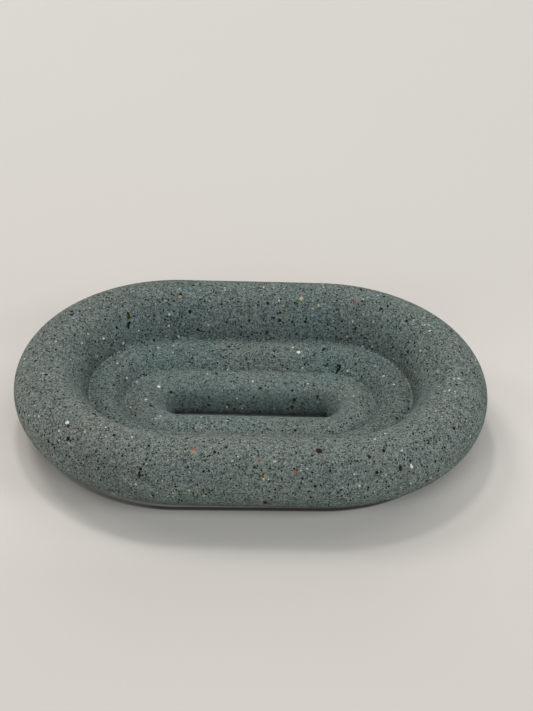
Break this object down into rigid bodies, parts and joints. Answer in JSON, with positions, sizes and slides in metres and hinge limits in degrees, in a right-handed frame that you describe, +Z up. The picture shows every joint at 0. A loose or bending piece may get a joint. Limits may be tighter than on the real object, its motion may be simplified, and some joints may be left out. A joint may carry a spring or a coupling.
{
  "type": "soap dish",
  "caption": "Oval concrete soap dish: nested rounded rings step down to a central drain slot, raised on small round rubber pads.",
  "frame": {"origin": "centre of the dish's plan, on the surface that the pads stand on", "axes": "+X along the length and the drain slot, towards the right end in the picture; +Y across the width, away from the viewer in the picture; +Z up"},
  "size_m": [0.14, 0.0982, 0.0226],
  "materials": {
    "concrete": "matte grey-green cast concrete with fine dark grains and sparse coloured chips",
    "pad_rubber": "matte black rubber"
  },
  "bodies": {
    "root": {"dish_body": "concrete", "foot_pad_front_left": "pad_rubber", "foot_pad_front_right": "pad_rubber", "foot_pad_back_left": "pad_rubber", "foot_pad_back_right": "pad_rubber"}
  },
  "joints": []
}
